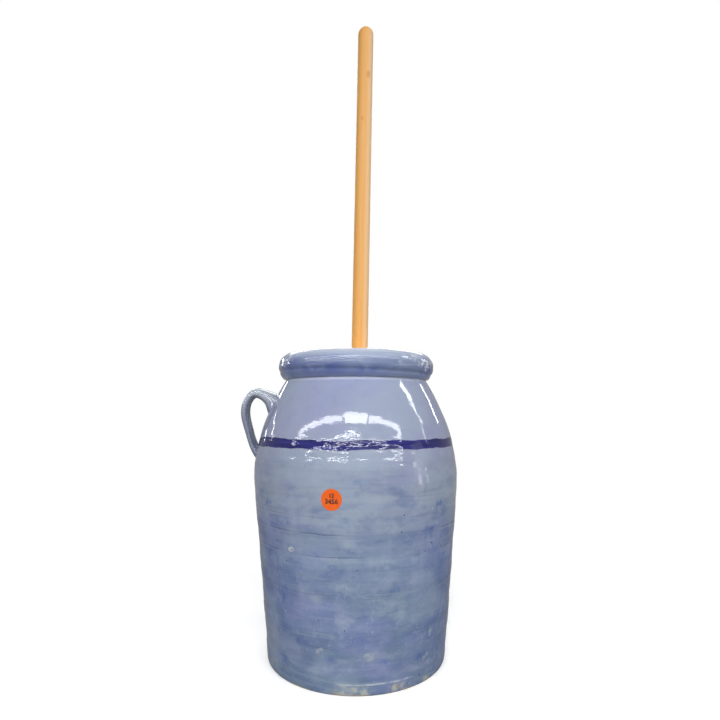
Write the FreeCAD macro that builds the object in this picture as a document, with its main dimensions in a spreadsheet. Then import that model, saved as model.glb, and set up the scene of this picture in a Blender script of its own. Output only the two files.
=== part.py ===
# Stoneware butter churn with a wooden lid and dasher, in millimetres.
#
# Frame: origin at the centre of the crock's underside, +Z up, the strap handle towards -X.
# The crock and lid stand upright. The dasher leans towards +X until it rests in the lid's hole,
# so its pieces are built along their own axis and placed together at the foot of the rod.
import FreeCAD, Part
import Sketcher
import math
import os
import re

from FreeCAD import Vector

SIZES = {
    # crock, outside: heights stack from the ground up, and each radius builds on the one below
    "foot_radius": 121.2,
    "foot_rounding": 2.5,
    "belly_height": 241.0,
    "belly_swell": 20.6,
    "belly_curve_drop": 33.7,
    "shoulder_height": 132.0,
    "shoulder_inset": 41.3,
    "shoulder_curve_rise": 87.4,
    "collar_height": 37.0,
    "collar_overhang": 11.1,
    "collar_widest_rise": 19.0,
    "collar_lip_overhang": 4.1,
    "collar_lip_rise": 1.5,
    "rim_inset": 0.7,
    # crock, inside
    "wall_thickness": 9.5,
    "floor_thickness": 12.0,
    "floor_corner_radius": 16.0,
    "throat_wall": 14.5,
    "throat_height": 13.0,
    "ledge_width": 9.5,
    "gallery_depth": 24.0,
    "rim_chamfer": 1.8,
    # strap handle: rises are above the belly line, and the loop's centre is inset from the belly
    "handle_bite": 4.2,
    "handle_root_rise": 103.0,
    "handle_loop_inset": 1.8,
    "handle_loop_rise": 93.5,
    "handle_loop_radius": 21.0,
    "handle_sweep_rise": 73.7,
    "handle_sweep_radius": 60.0,
    "handle_tail_rise": 27.7,
    "handle_width": 32.0,
    "handle_thickness": 9.5,
    "handle_edge_chamfer": 2.2,
    "handle_azimuth": 180.0,
    # price label
    "label_diameter": 25.4,
    "label_thickness": 0.3,
    "label_gap": 0.05,
    "label_drop": 15.0,
    "label_azimuth": 258.4,
    # lid
    "lid_thickness": 19.05,
    "lid_side_clearance": 2.0,
    "lid_edge_chamfer": 2.5,
    "lid_seat_gap": 0.2,
    "register_thickness": 12.7,
    "register_side_clearance": 2.5,
    "register_chamfer": 2.0,
    "rod_hole_diameter": 31.75,
    "lid_nail_count": 6,
    "lid_nail_edge_distance": 21.5,
    "lid_nail_cover": 3.75,
    # nails
    "nail_diameter": 2.8,
    "nail_head_diameter": 6.4,
    "nail_head_thickness": 1.2,
    "nail_point_length": 4.0,
    "nail_clearance": 0.03,
    # dasher: heights are along the rod from its lower end
    "rod_diameter": 23.8,
    "rod_length": 914.0,
    "rod_lean": 0.94,
    "rod_lean_clearance": 0.3,
    "rod_foot_gap": 0.45,
    "tenon_diameter": 19.0,
    "tenon_projection": 5.0,
    "tenon_chamfer": 1.0,
    "tenon_clearance": 0.05,
    "cross_side_clearance": 6.0,
    "cross_width": 44.5,
    "cross_thickness": 19.05,
    "cross_edge_chamfer": 1.5,
    "lap_side_clearance": 0.15,
    "churn_hole_diameter": 12.7,
    "churn_hole_end_distance": 18.0,
    "churn_hole_spacing": 20.0,
    "cross_nail_count": 4,
    "cross_nail_edge_distance": 6.7,
    "cross_nail_cover": 2.05,
    "wedge_side_inset": 1.0,
    "wedge_length": 16.0,
    "wedge_root_thickness": 3.0,
    "wedge_tip_thickness": 0.8,
}

# Radii, heights and places that several pieces share, as expressions on the sizes.
BELLY_RADIUS = "(foot_radius + belly_swell)"
NECK_RADIUS = f"({BELLY_RADIUS} - shoulder_inset)"
THROAT_RADIUS = f"({NECK_RADIUS} - throat_wall)"
GALLERY_RADIUS = f"({THROAT_RADIUS} + ledge_width)"
NECK_HEIGHT = "(belly_height + shoulder_height)"
RIM_HEIGHT = f"({NECK_HEIGHT} + collar_height)"
LEDGE_HEIGHT = f"({RIM_HEIGHT} - gallery_depth)"
LABEL_HEIGHT = "(belly_height - label_drop)"

LID_BASE = f"({LEDGE_HEIGHT} + lid_seat_gap)"
LID_TOP = f"({LID_BASE} + lid_thickness)"
REGISTER_RADIUS = f"({THROAT_RADIUS} - register_side_clearance)"
REGISTER_BASE = f"({LID_BASE} - register_thickness)"
LID_NAIL_CIRCLE = f"({REGISTER_RADIUS} - lid_nail_edge_distance)"
LID_NAIL_LENGTH = "(lid_thickness + register_thickness - lid_nail_cover)"

LEAN = "(rod_lean * 1deg)"
ROD_FOOT_HEIGHT = "(floor_thickness + rod_foot_gap)"
ROD_FOOT_OFFSET = (
    f"(rod_hole_diameter / 2 - rod_diameter / 2 / cos{LEAN} - rod_lean_clearance"
    f" - ({LID_TOP} - {ROD_FOOT_HEIGHT}) * tan{LEAN})"
)
ROD_FOOT = f"vector({ROD_FOOT_OFFSET}; 0; {ROD_FOOT_HEIGHT})"
DASHER_PLACE = f"placement({ROD_FOOT}; rotation(vector(0; 1; 0); rod_lean))"
CROSS_RADIUS = f"({THROAT_RADIUS} - cross_side_clearance)"
CROSS_TOP = "(tenon_projection + cross_thickness)"
LAP_HEIGHT = "(tenon_projection + cross_thickness / 2)"
CROSS_NAIL_OFFSET = "(cross_width / 2 - cross_nail_edge_distance)"
CROSS_NAIL_LENGTH = "(cross_thickness - cross_nail_cover)"

document = FreeCAD.newDocument("butter_churn")
sheet = document.addObject("Spreadsheet::Sheet", "sizes")
for row, (alias, value) in enumerate(SIZES.items(), start=1):
    sheet.set(f"A{row}", alias)
    sheet.set(f"B{row}", str(value))
    sheet.setAlias(f"B{row}", alias)
document.recompute()


def bound(text):
    """The expression with each size's name turned into a reference to its cell."""
    return re.sub(r"\b[a-z_]+\b", lambda word: ("sizes." if word[0] in SIZES else "") + word[0], text)


def number(text):
    """What an expression on the sizes comes to now."""
    return float(sheet.evalExpression(bound(text)))


def turn(axis, degrees):
    """A placement that only turns, as an expression."""
    return f"placement(vector(0; 0; 0); rotation(vector({axis}); {degrees}))"


class Profile:
    """A sketch on one of a body's own planes, whose points and radii are tied to the sheet."""

    def __init__(self, body, plane, name, height=None):
        self.sketch = body.newObject("Sketcher::SketchObject", name)
        support = next(item for item in body.Origin.OriginFeatures if item.Role == plane)
        self.sketch.AttachmentSupport = [(support, "")]
        self.sketch.MapMode = "FlatFace"
        if height is not None:
            self.sketch.setExpression("AttachmentOffset.Base.z", bound(height))

    def line(self, start, end, construction=False):
        return self.sketch.addGeometry(Part.LineSegment(Vector(*start, 0), Vector(*end, 0)), construction)

    def arc(self, centre, radius, first, last, construction=False):
        circle = Part.Circle(Vector(*centre, 0), Vector(0, 0, 1), radius)
        arc = Part.ArcOfCircle(circle, math.radians(first), math.radians(last))
        return self.sketch.addGeometry(arc, construction)

    def circle(self, x, y, diameter):
        centre = Vector(number(x), number(y), 0)
        ring = self.sketch.addGeometry(Part.Circle(centre, Vector(0, 0, 1), number(diameter) / 2), False)
        self.fix(ring, 3, x, y)
        self.measure("Diameter", diameter, ring)

    def mark(self, x, y):
        """A construction point at a place given by two expressions."""
        point = self.sketch.addGeometry(Part.Point(Vector(number(x), number(y), 0)), True)
        self.fix(point, 1, x, y)
        return point

    def rule(self, kind, *items):
        self.sketch.addConstraint(Sketcher.Constraint(kind, *items))

    def measure(self, kind, size, *items):
        index = self.sketch.addConstraint(Sketcher.Constraint(kind, *items, number(size)))
        self.sketch.setExpression(f"Constraints[{index}]", bound(size))

    def fix_x(self, item, point, x):
        if x == "0":
            self.rule("PointOnObject", item, point, -2)
        else:
            self.measure("DistanceX", x, -1, 1, item, point)

    def fix_y(self, item, point, y):
        if y == "0":
            self.rule("PointOnObject", item, point, -1)
        else:
            self.measure("DistanceY", y, -1, 1, item, point)

    def fix(self, item, point, x, y):
        if (x, y) == ("0", "0"):
            self.rule("Coincident", item, point, -1, 1)
        else:
            self.fix_x(item, point, x)
            self.fix_y(item, point, y)

    def path(self, corners):
        """Straight lines through corners, each of which is held by two expressions."""
        places = [(number(x), number(y)) for x, y in corners]
        lines = [self.line(start, end) for start, end in zip(places, places[1:])]
        for before, after in zip(lines, lines[1:]):
            self.rule("Coincident", before, 2, after, 1)
        for line, corner in zip(lines, corners):
            self.fix(line, 1, *corner)
        if corners[0] != corners[-1]:
            self.fix(lines[-1], 2, *corners[-1])
        else:
            self.rule("Coincident", lines[-1], 2, lines[0], 1)
        return lines

    def outline(self, corners):
        return self.path(corners + corners[:1])


def new_body(name, place=None):
    body = document.addObject("PartDesign::Body", name)
    if place:
        body.setExpression("Placement", bound(place))
    return body


def feature(body, kind, name, profile, **settings):
    item = body.newObject("PartDesign::" + kind, name)
    item.Profile = profile.sketch
    for key, value in settings.items():
        setattr(item, key, value)
    return item


def turned(body, kind, name, profile, axis="V_Axis"):
    """A Revolution or Groove of a profile about its upright axis, or about a line drawn in it."""
    return feature(body, kind, name, profile, ReferenceAxis=(profile.sketch, [axis]), Angle=360)


def padded(body, name, profile, length, **settings):
    item = feature(body, "Pad", name, profile, **settings)
    item.setExpression("Length", bound(length))
    return item


def pocketed(body, name, profile, depth=None, **settings):
    """A cut from the profile in the direction of the sketch's own axis, or right through."""
    item = feature(body, "Pocket", name, profile, Reversed=True, **settings)
    if depth is None:
        item.Type = "ThroughAll"
    else:
        item.setExpression("Length", bound(depth))
    return item


def around(body, name, originals, count):
    """The originals repeated about the body's upright axis."""
    document.recompute()
    item = body.newObject("PartDesign::PolarPattern", name)
    item.Originals = originals
    upright = next(line for line in body.Origin.OriginFeatures if line.Role == "Z_Axis")
    item.Axis = (upright, [""])
    item.Angle = 360
    item.setExpression("Occurrences", bound(count))
    body.Tip = item
    return item


def circle_point(centre, radius, degrees):
    angle = math.radians(degrees)
    return centre[0] + radius * math.cos(angle), centre[1] + radius * math.sin(angle)


def lean_after_arc(rise, across, along):
    """Lean from the upright of a straight that follows an arc, which starts upright and climbs by rise.

    Arc and straight together reach across and along.
    """
    low, high = 0.0, 89.0
    for _ in range(60):
        angle = math.radians((low + high) / 2)
        reach = rise * math.tan(angle / 2) + (along - rise) * math.tan(angle)
        low, high = (low, math.degrees(angle)) if reach > across else (math.degrees(angle), high)
    return low


def jar_side(profile, inset, top_radius, top_height, construction=False):
    """The jar's side, inset from its outer face: wall line, belly arc, shoulder arc, shoulder line.

    Both arcs stand upright at the belly line. The wall line points at the foot's radius on the
    ground, and the shoulder line ends at the given top. Returns the four items, from the foot up.
    """
    foot = number(f"foot_radius - {inset}")
    belly = number(f"{BELLY_RADIUS} - {inset}")
    height = number("belly_height")
    drop = number("belly_curve_drop")
    rise = number("shoulder_curve_rise")
    top = number(top_radius), number(top_height)
    wall_lean = lean_after_arc(drop, belly - foot, height)
    shoulder_lean = lean_after_arc(rise, belly - top[0], top[1] - height)
    belly_round = drop / math.sin(math.radians(wall_lean))
    shoulder_round = rise / math.sin(math.radians(shoulder_lean))
    belly_centre = belly - belly_round, height
    shoulder_centre = belly - shoulder_round, height

    belly_foot = circle_point(belly_centre, belly_round, -wall_lean)
    shoulder_end = circle_point(shoulder_centre, shoulder_round, shoulder_lean)
    wall = profile.line((foot, 0), belly_foot, construction)
    lower = profile.arc(belly_centre, belly_round, -wall_lean, 0, construction)
    upper = profile.arc(shoulder_centre, shoulder_round, 0, shoulder_lean, construction)
    shoulder = profile.line(shoulder_end, top, construction)
    profile.rule("Tangent", wall, 2, lower, 1)
    profile.rule("Coincident", lower, 2, upper, 1)
    profile.rule("Tangent", upper, 2, shoulder, 1)
    profile.fix(lower, 2, f"{BELLY_RADIUS} - {inset}", "belly_height")
    profile.fix_y(lower, 3, "belly_height")
    profile.fix_y(upper, 3, "belly_height")
    profile.fix_y(lower, 1, "belly_height - belly_curve_drop")
    profile.fix_y(upper, 2, "belly_height + shoulder_curve_rise")
    profile.fix(shoulder, 2, top_radius, top_height)
    profile.rule("PointOnObject", profile.mark(f"foot_radius - {inset}", "0"), 1, wall)
    return wall, lower, upper, shoulder


def floor_corner(profile, floor_height, radius, axis, wall):
    """Floor line from the foot of the axis, and the rounded corner that leads into the wall line."""
    height, rounding = number(floor_height), number(radius)
    wall_foot = profile.sketch.Geometry[wall].StartPoint
    centre = wall_foot.x - rounding, height + rounding
    floor = profile.line((0, height), (centre[0], height))
    corner = profile.arc(centre, rounding, 270, 355)
    profile.rule("Coincident", axis, 2, floor, 1)
    profile.rule("Horizontal", floor)
    profile.rule("Tangent", floor, 2, corner, 1)
    profile.rule("Tangent", corner, 2, wall, 1)
    profile.measure("Radius", radius, corner)


def roll_arc(profile, end, widest):
    """Arc of the collar between one of its ends and its widest point, where it stands upright."""
    end_x, end_y, widest_x, widest_y = (number(size) for size in end + widest)
    across, along = widest_x - end_x, end_y - widest_y
    radius = (across ** 2 + along ** 2) / (2 * across)
    angle = math.degrees(math.asin(along / radius))
    arc = profile.arc((widest_x - radius, widest_y), radius, min(angle, 0), max(angle, 0))
    profile.fix_y(arc, 3, widest[1])
    return arc


def make_crock_body():
    """Thrown jar: foot, belly, shoulder and rolled collar, hollow, with a gallery that seats the lid."""
    body = new_body("crock_body")
    outside = Profile(body, "XZ_Plane", "jar_outline")
    wall, *_ = jar_side(outside, "0", NECK_RADIUS, NECK_HEIGHT)
    lip = f"{NECK_RADIUS} + collar_lip_overhang", f"{NECK_HEIGHT} + collar_lip_rise"
    widest = f"{NECK_RADIUS} + collar_overhang", f"{NECK_HEIGHT} + collar_widest_rise"
    rim = f"{NECK_RADIUS} - rim_inset", RIM_HEIGHT
    under, = outside.path([(NECK_RADIUS, NECK_HEIGHT), lip])
    lower_roll = roll_arc(outside, lip, widest)
    upper_roll = roll_arc(outside, rim, widest)
    top, axis = outside.path([rim, ("0", RIM_HEIGHT), ("0", "0")])
    outside.rule("Coincident", under, 2, lower_roll, 1)
    outside.rule("Coincident", lower_roll, 2, upper_roll, 1)
    outside.rule("Coincident", upper_roll, 2, top, 1)
    outside.fix(lower_roll, 2, *widest)
    floor_corner(outside, "0", "foot_rounding", axis, wall)
    turned(body, "Revolution", "jar_solid", outside)

    inside = Profile(body, "XZ_Plane", "hollow_outline")
    throat_foot = f"({LEDGE_HEIGHT} - throat_height)"
    wall, *_ = jar_side(inside, "wall_thickness", THROAT_RADIUS, throat_foot)
    *_, axis = inside.path([
        (THROAT_RADIUS, throat_foot),
        (THROAT_RADIUS, LEDGE_HEIGHT),
        (GALLERY_RADIUS, LEDGE_HEIGHT),
        (GALLERY_RADIUS, f"{RIM_HEIGHT} - rim_chamfer"),
        (f"{GALLERY_RADIUS} + rim_chamfer", RIM_HEIGHT),
        ("0", RIM_HEIGHT),
        ("0", "floor_thickness"),
    ])
    floor_corner(inside, "floor_thickness", "floor_corner_radius", axis, wall)
    turned(body, "Groove", "jar_hollow", inside)
    return body


def bearing(start, end):
    """Angle and distance from one point to another."""
    across, along = end[0] - start[0], end[1] - start[1]
    return math.degrees(math.atan2(along, across)), math.hypot(across, along)


def strap_route(body):
    """Centre line of the strap: root line, loop, grip line and the sweep that brings it back.

    Root and tail lie on a copy of the jar's side that is inset by the bite. Each of the four runs
    is tangent to the next.
    """
    route = Profile(body, "XZ_Plane", "strap_route")
    top_radius = f"({NECK_RADIUS} - handle_bite)"
    _, _, shoulder_arc, shoulder_line = jar_side(route, "handle_bite", top_radius, NECK_HEIGHT, True)
    root_height = "belly_height + handle_root_rise"
    tail_height = "belly_height + handle_tail_rise"
    loop_place = f"{BELLY_RADIUS} - handle_loop_inset", "belly_height + handle_loop_rise"
    sweep_height = "belly_height + handle_sweep_rise"
    loop_radius, sweep_radius = number("handle_loop_radius"), number("handle_sweep_radius")

    line = route.sketch.Geometry[shoulder_line]
    arc = route.sketch.Geometry[shoulder_arc]
    root_y, tail_y, sweep_y = number(root_height), number(tail_height), number(sweep_height)
    share = (root_y - line.StartPoint.y) / (line.EndPoint.y - line.StartPoint.y)
    root = line.StartPoint.x + share * (line.EndPoint.x - line.StartPoint.x), root_y
    tail = arc.Center.x + math.sqrt(arc.Radius ** 2 - (tail_y - arc.Center.y) ** 2), tail_y
    loop_centre = tuple(number(size) for size in loop_place)
    sweep_centre = tail[0] - math.sqrt(sweep_radius ** 2 - (tail_y - sweep_y) ** 2), sweep_y

    root_angle, root_distance = bearing(loop_centre, root)
    loop_start = root_angle - math.degrees(math.acos(loop_radius / root_distance))
    loop_angle, loop_distance = bearing(sweep_centre, loop_centre)
    grip_angle = loop_angle - math.degrees(math.acos((sweep_radius - loop_radius) / loop_distance))
    tail_angle, _ = bearing(sweep_centre, tail)

    root_run = route.line(root, circle_point(loop_centre, loop_radius, loop_start))
    loop = route.arc(loop_centre, loop_radius, grip_angle, loop_start)
    grip = route.line(circle_point(loop_centre, loop_radius, grip_angle),
                      circle_point(sweep_centre, sweep_radius, grip_angle))
    sweep = route.arc(sweep_centre, sweep_radius, tail_angle, grip_angle)
    route.rule("Tangent", root_run, 2, loop, 2)
    route.rule("Tangent", loop, 1, grip, 1)
    route.rule("Tangent", grip, 2, sweep, 2)
    route.rule("PointOnObject", root_run, 1, shoulder_line)
    route.fix_y(root_run, 1, root_height)
    route.fix(loop, 3, *loop_place)
    route.measure("Radius", "handle_loop_radius", loop)
    route.rule("PointOnObject", sweep, 1, shoulder_arc)
    route.fix_y(sweep, 1, tail_height)
    route.fix_y(sweep, 3, sweep_height)
    route.measure("Radius", "handle_sweep_radius", sweep)
    document.recompute()
    return route


def make_strap_handle(crock):
    """Flat strap of clay pulled into a loop, from the shoulder out and down to the belly.

    It is drawn on the +X side and turned round to its azimuth. Both ends run into the wall by the
    bite, and what would lie inside the wall is cut away, so the strap sits on the jar.
    """
    body = new_body("strap_blank", turn("0; 0; 1", "handle_azimuth"))
    route = strap_route(body)
    section = Profile(body, "XZ_Plane", "strap_section")
    section.sketch.AttachmentSupport = [(route.sketch, "Edge1")]
    section.sketch.MapMode = "NormalToEdge"
    side, face, ease = "handle_width / 2", "handle_thickness / 2", "handle_edge_chamfer"
    section.outline([
        (f"{side} - {ease}", face),
        (f"-{side} + {ease}", face),
        (f"-{side}", f"{face} - {ease}"),
        (f"-{side}", f"-{face} + {ease}"),
        (f"-{side} + {ease}", f"-{face}"),
        (f"{side} - {ease}", f"-{face}"),
        (side, f"-{face} + {ease}"),
        (side, f"{face} - {ease}"),
    ])
    spine = route.sketch, ["Edge1", "Edge2", "Edge3", "Edge4"]
    feature(body, "AdditivePipe", "strap", section, Spine=spine)
    return combined("Part::Cut", "strap_handle", body, crock)


def combined(kind, name, base, tool):
    item = document.addObject(kind, name)
    item.Base = base
    item.Tool = tool
    return item


def make_price_label():
    """Round paper label that follows the jar's side just below the belly line."""
    ring = new_body("label_ring")
    strip = Profile(ring, "XZ_Plane", "label_strip")
    _, belly, *_ = jar_side(strip, "0", NECK_RADIUS, NECK_HEIGHT, True)
    centre, radius = strip.sketch.Geometry[belly].Center, strip.sketch.Geometry[belly].Radius
    ends = [f"{LABEL_HEIGHT} {sign} label_diameter * 0.6" for sign in "-+"]
    faces = []
    for gap in ("label_gap", "label_gap + label_thickness"):
        reach = radius + number(gap)
        angles = [math.degrees(math.asin((number(end) - centre.y) / reach)) for end in ends]
        face = strip.arc((centre.x, centre.y), reach, *angles)
        strip.rule("Coincident", face, 3, belly, 3)
        strip.rule("PointOnObject", strip.mark(f"{BELLY_RADIUS} + {gap}", "belly_height"), 1, face)
        strip.fix_y(face, 1, ends[0])
        strip.fix_y(face, 2, ends[1])
        faces.append(face)
    for point in (1, 2):
        start, end = (strip.sketch.getPoint(face, point) for face in faces)
        edge = strip.line((start.x, start.y), (end.x, end.y))
        strip.rule("Coincident", edge, 1, faces[0], point)
        strip.rule("Coincident", edge, 2, faces[1], point)
    turned(ring, "Revolution", "label_revolution", strip)

    punch = document.addObject("Part::Cylinder", "label_punch")
    punch.setExpression("Radius", bound("label_diameter / 2"))
    punch.setExpression("Height", bound(f"{BELLY_RADIUS} + label_diameter"))
    aim = f"placement(vector(0; 0; {LABEL_HEIGHT}); rotation(vector(0; 0; 1); label_azimuth))"
    punch.setExpression("Placement", bound(f"{aim} * {turn('0; 1; 0', '90')}"))
    return combined("Part::Common", "price_label", ring, punch)


def nail_ring(body, name, height, diameter, depth=None):
    """The lid's ring of nail bores or head seats, cut upwards from a height."""
    holes = Profile(body, "XY_Plane", name + "_outline", height)
    holes.circle(LID_NAIL_CIRCLE, "0", f"{diameter} + 2 * nail_clearance")
    return around(body, name + "_ring", [pocketed(body, name, holes, depth)], "lid_nail_count")


def make_nails(name, top_height, circle_radius, count, length, place=None):
    """A ring of wire nails, driven down until their heads are flush with the top."""
    body = new_body(name, place)
    nail = Profile(body, "XZ_Plane", name + "_outline")
    shank, head = f"{circle_radius} + nail_diameter / 2", f"{circle_radius} + nail_head_diameter / 2"
    point_height, head_height = f"{top_height} - {length}", f"{top_height} - nail_head_thickness"
    middle, *_ = nail.outline([
        (circle_radius, top_height),
        (circle_radius, point_height),
        (shank, f"{point_height} + nail_point_length"),
        (shank, head_height),
        (head, head_height),
        (head, top_height),
    ])
    axis = nail.line((number(circle_radius), 0), (number(circle_radius), 1), True)
    nail.rule("Vertical", axis)
    nail.rule("PointOnObject", axis, 1, middle)
    nail.fix_y(axis, 1, point_height)
    nail.measure("DistanceY", "nail_point_length", axis, 1, axis, 2)
    around(body, name + "_ring", [turned(body, "Revolution", name + "_solid", nail, "Axis0")], count)
    return body


def make_lid_board():
    """Round board that drops into the gallery, with the rod's hole in its middle."""
    body = new_body("lid_board")
    board = Profile(body, "XZ_Plane", "board_outline")
    hole, edge = "rod_hole_diameter / 2", f"{GALLERY_RADIUS} - lid_side_clearance"
    board.outline([
        (hole, LID_BASE),
        (edge, LID_BASE),
        (edge, f"{LID_TOP} - lid_edge_chamfer"),
        (f"{edge} - lid_edge_chamfer", LID_TOP),
        (hole, LID_TOP),
    ])
    turned(body, "Revolution", "board_solid", board)
    nail_ring(body, "board_nail_bore", LID_BASE, "nail_diameter")
    seat_height = f"{LID_TOP} - nail_head_thickness"
    nail_ring(body, "board_nail_seat", seat_height, "nail_head_diameter", "nail_head_thickness")
    return body


def make_lid_register():
    """Smaller board under the lid that keeps it centred in the throat."""
    body = new_body("lid_register")
    register = Profile(body, "XZ_Plane", "register_outline")
    hole = "rod_hole_diameter / 2"
    register.outline([
        (hole, REGISTER_BASE),
        (f"{REGISTER_RADIUS} - register_chamfer", REGISTER_BASE),
        (REGISTER_RADIUS, f"{REGISTER_BASE} + register_chamfer"),
        (REGISTER_RADIUS, LID_BASE),
        (hole, LID_BASE),
    ])
    turned(body, "Revolution", "register_solid", register)
    nail_ring(body, "register_nail_bore", f"{LID_TOP} - {LID_NAIL_LENGTH}", "nail_diameter")
    return body


def wedge_taper(body, name):
    """The wedge seen from the side, wide at the rod's lower end and thin at the top."""
    taper = Profile(body, "XZ_Plane", name)
    taper.outline([
        ("-wedge_root_thickness / 2", "0"),
        ("wedge_root_thickness / 2", "0"),
        ("wedge_tip_thickness / 2", "wedge_length"),
        ("-wedge_tip_thickness / 2", "wedge_length"),
    ])
    return taper


def make_dasher_rod():
    """Round rod with a domed top and, at its foot, a tenon that is split for the wedge."""
    body = new_body("dasher_rod", DASHER_PLACE)
    side = Profile(body, "XZ_Plane", "rod_outline")
    rod, tenon = "rod_diameter / 2", "tenon_diameter / 2"
    dome_height = f"(rod_length - {rod})"
    *_, shaft = side.path([
        ("0", "0"),
        (f"{tenon} - tenon_chamfer", "0"),
        (tenon, "tenon_chamfer"),
        (tenon, CROSS_TOP),
        (rod, CROSS_TOP),
        (rod, dome_height),
    ])
    dome = side.arc((0, number(dome_height)), number(rod), 0, 90)
    axis = side.line((0, number("rod_length")), (0, 0))
    side.rule("Coincident", shaft, 2, dome, 1)
    side.fix(dome, 3, "0", dome_height)
    side.rule("Coincident", dome, 2, axis, 1)
    side.fix_x(axis, 1, "0")
    side.fix(axis, 2, "0", "0")
    turned(body, "Revolution", "rod_solid", side)
    pocketed(body, "tenon_split", wedge_taper(body, "split_outline"), Midplane=True)
    return body


def make_foot_wedge():
    """Wedge that spreads the tenon in the cross."""
    body = new_body("foot_wedge", DASHER_PLACE)
    width = "tenon_diameter - 2 * wedge_side_inset"
    padded(body, "wedge_solid", wedge_taper(body, "wedge_outline"), width, Midplane=True)
    return body


def cross_blank(body, name):
    """A board with parallel sides and ends rounded about the rod, its edges eased all round."""
    board = Profile(body, "XY_Plane", name + "_outline", "tenon_projection")
    half, radius = "cross_width / 2", number(CROSS_RADIUS)
    angle = math.degrees(math.asin(number(half) / radius))
    corners = [circle_point((0, 0), radius, a) for a in (angle, 180 - angle, 180 + angle, -angle)]
    right = board.arc((0, 0), radius, -angle, angle)
    back = board.line(corners[0], corners[1])
    left = board.arc((0, 0), radius, 180 - angle, 180 + angle)
    front = board.line(corners[2], corners[3])
    for before, after in ((right, back), (back, left), (left, front), (front, right)):
        board.rule("Coincident", before, 2, after, 1)
    for end in (right, left):
        board.rule("Coincident", end, 3, -1, 1)
    for edge, height in ((back, half), (front, f"-{half}")):
        board.rule("Horizontal", edge)
        board.fix_y(edge, 1, height)
    board.measure("Radius", CROSS_RADIUS, right)
    blank = padded(body, name + "_blank", board, "cross_thickness")
    document.recompute()
    eased = body.newObject("PartDesign::Chamfer", name + "_eased")
    eased.Base = (blank, [f"Edge{index + 1}" for index in range(len(blank.Shape.Edges))])
    eased.setExpression("Size", bound("cross_edge_chamfer"))


def four_nails(body, name, height, diameter, depth):
    """Bores or head seats for the nails at the corners of the lap, cut upwards from a height."""
    bores = Profile(body, "XY_Plane", name + "_outline", height)
    for side in "+-":
        for end in "+-":
            place = f"{side}{CROSS_NAIL_OFFSET}", f"{end}{CROSS_NAIL_OFFSET}"
            bores.circle(*place, f"{diameter} + 2 * nail_clearance")
    pocketed(body, name, bores, depth)


def make_cross_board(name, quarter_turn, lap_foot):
    """One board of the dasher's cross: half a lap joint, the tenon's mortise and the churning holes."""
    body = new_body(name, f"{DASHER_PLACE} * {turn('0; 0; 1', quarter_turn)}")
    cross_blank(body, name)

    lap = Profile(body, "XY_Plane", name + "_lap_outline", lap_foot)
    half, reach = "cross_width / 2", "(cross_width / 2 + lap_side_clearance)"
    lap.outline([(f"-{reach}", f"-{half}"), (reach, f"-{half}"), (reach, half), (f"-{reach}", half)])
    pocketed(body, name + "_lap", lap, "cross_thickness / 2")

    mortise = Profile(body, "XY_Plane", name + "_mortise_outline", "tenon_projection")
    mortise.circle("0", "0", "tenon_diameter + 2 * tenon_clearance")
    pocketed(body, name + "_mortise", mortise)

    holes = Profile(body, "XY_Plane", name + "_hole_outline", "tenon_projection")
    outer_place = f"{CROSS_RADIUS} - churn_hole_end_distance"
    for place in (outer_place, f"{outer_place} - churn_hole_spacing"):
        holes.circle(place, "0", "churn_hole_diameter")
    around(body, name + "_holes", [pocketed(body, name + "_hole", holes)], "2")

    four_nails(body, name + "_nail_bores", "tenon_projection", "nail_diameter", "cross_thickness")
    return body


def make_cross():
    """Lower board along X with its lap on top, and upper board along Y with its lap beneath."""
    lower = make_cross_board("cross_board_lower", "0", LAP_HEIGHT)
    upper = make_cross_board("cross_board_upper", "90", "tenon_projection")
    seat_height = f"{CROSS_TOP} - nail_head_thickness"
    four_nails(upper, "cross_nail_seats", seat_height, "nail_head_diameter", "nail_head_thickness")
    return [lower, upper]


def main():
    crock = make_crock_body()
    diagonal = f"{DASHER_PLACE} * {turn('0; 0; 1', '45')}"
    nail_circle = f"({CROSS_NAIL_OFFSET} * sqrt(2))"
    pieces = [
        crock,
        make_strap_handle(crock),
        make_price_label(),
        make_lid_board(),
        make_lid_register(),
        make_nails("lid_nails", LID_TOP, LID_NAIL_CIRCLE, "lid_nail_count", LID_NAIL_LENGTH),
        make_dasher_rod(),
        *make_cross(),
        make_nails("cross_nails", CROSS_TOP, nail_circle, "cross_nail_count", CROSS_NAIL_LENGTH, diagonal),
        make_foot_wedge(),
    ]
    document.recompute()
    check(pieces)
    os.makedirs("parts", exist_ok=True)
    for piece in pieces:
        piece.Shape.exportStep(f"parts/{piece.Label}.step")


def check(pieces):
    """Stop if an object failed, a cut removed nothing, or a piece has no sound shape."""
    for item in document.Objects:
        if "Invalid" in item.State or "Error" in item.State:
            raise RuntimeError(f"{item.Label} failed: {item.State}")
        if item.TypeId in ("PartDesign::Pocket", "PartDesign::Groove"):
            if item.Shape.Volume > item.BaseFeature.Shape.Volume - 0.01:
                raise RuntimeError(f"{item.Label} cuts nothing")
    for piece in pieces:
        if piece.Shape.isNull() or not piece.Shape.isValid():
            raise RuntimeError(f"{piece.Label} has no valid shape")
        print(piece.Label, len(piece.Shape.Solids), round(piece.Shape.Volume), piece.Shape.BoundBox)


main()
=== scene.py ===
# Stoneware butter churn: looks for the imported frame. Lengths are in metres; MM turns millimetres into them.
import math

import bpy
import numpy as np
from mathutils import Matrix, Vector


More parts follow.
